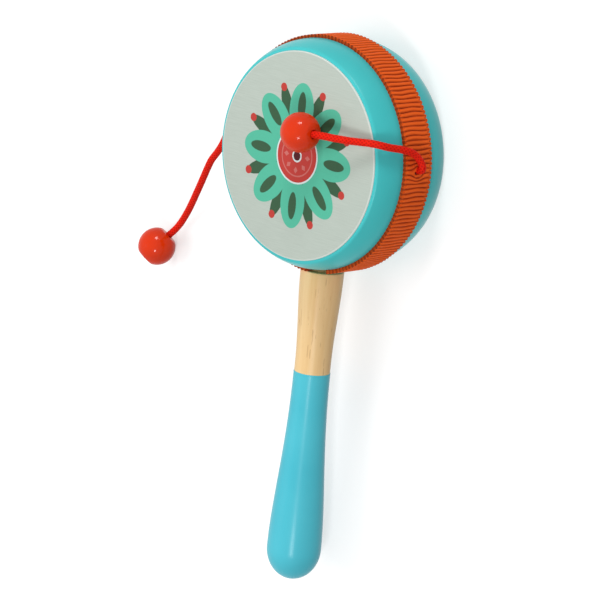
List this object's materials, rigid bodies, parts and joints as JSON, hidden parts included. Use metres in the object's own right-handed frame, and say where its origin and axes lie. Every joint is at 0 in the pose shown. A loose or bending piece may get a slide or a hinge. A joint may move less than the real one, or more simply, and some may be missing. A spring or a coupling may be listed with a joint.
{
  "type": "pellet drum rattle",
  "caption": "Hand-held pellet drum rattle: a shallow round drum on a turned handle, with a wooden bead on a cord at each side that swings to strike the drum's heads.",
  "frame": {"origin": "middle of the rear head's outer face, on which the rattle lies", "axes": "+Z out of the front head, the handle runs along -Y, +X to the right seen from the front with the handle down"},
  "size_m": [0.1497, 0.2041, 0.0506],
  "materials": {
    "shell_lacquer": "gloss lacquer",
    "head_board": "printed and varnished thin board",
    "ribbon_cloth": "ribbed ribbon",
    "handle_wood": "satin varnish on the neck, grip dipped in gloss paint",
    "cord_braid": "braided cord",
    "bead_lacquer": "gloss lacquer"
  },
  "bodies": {
    "drum": {"drum_shell": "shell_lacquer", "front_head": "head_board", "rear_head": "head_board", "rim_ribbon": "ribbon_cloth", "handle": "handle_wood", "right_wall_knot": "cord_braid", "right_cord_anchor": "cord_braid", "left_wall_knot": "cord_braid", "left_cord_anchor": "cord_braid"},
    "right_cord_link": {"right_cord_lead": "cord_braid"},
    "right_pellet": {"right_cord_free": "cord_braid", "right_bead": "bead_lacquer", "right_bead_knot": "cord_braid"},
    "left_cord_link": {"left_cord_lead": "cord_braid"},
    "left_pellet": {"left_cord_free": "cord_braid", "left_bead": "bead_lacquer", "left_bead_knot": "cord_braid"}
  },
  "joints": [
    {"name": "right_cord_swing", "type": "hinge", "parent": "drum", "child": "right_cord_link", "pos_m": [0.04532, 0.00389, 0.0194], "axis": [0, 1, 0], "range_deg": [0, 192.2], "deforming": ["right_cord_lead"]},
    {"name": "right_cord_curl", "type": "hinge", "parent": "right_cord_link", "child": "right_pellet", "pos_m": [0.03844, 0.01206, 0.0379], "axis": [0, 1, 0], "range_deg": [0, 144.15], "deforming": ["right_cord_free"]},
    {"name": "left_cord_swing", "type": "hinge", "parent": "drum", "child": "left_cord_link", "pos_m": [-0.0451, 0.0025, 0.0189], "axis": [-0.4067, 0.9135, 0], "range_deg": [-70.9, 77.9], "deforming": ["left_cord_lead"]},
    {"name": "left_cord_curl", "type": "hinge", "parent": "left_cord_link", "child": "left_pellet", "pos_m": [-0.06428, -0.01596, 0.01392], "axis": [-0.4067, 0.9135, 0], "range_deg": [-99.26, 109.06], "deforming": ["left_cord_free"]}
  ],
  "couplings": [
    {"joint": "right_cord_curl", "follows": "right_cord_swing", "ratio": 0.75},
    {"joint": "left_cord_curl", "follows": "left_cord_swing", "ratio": 1.4}
  ]
}
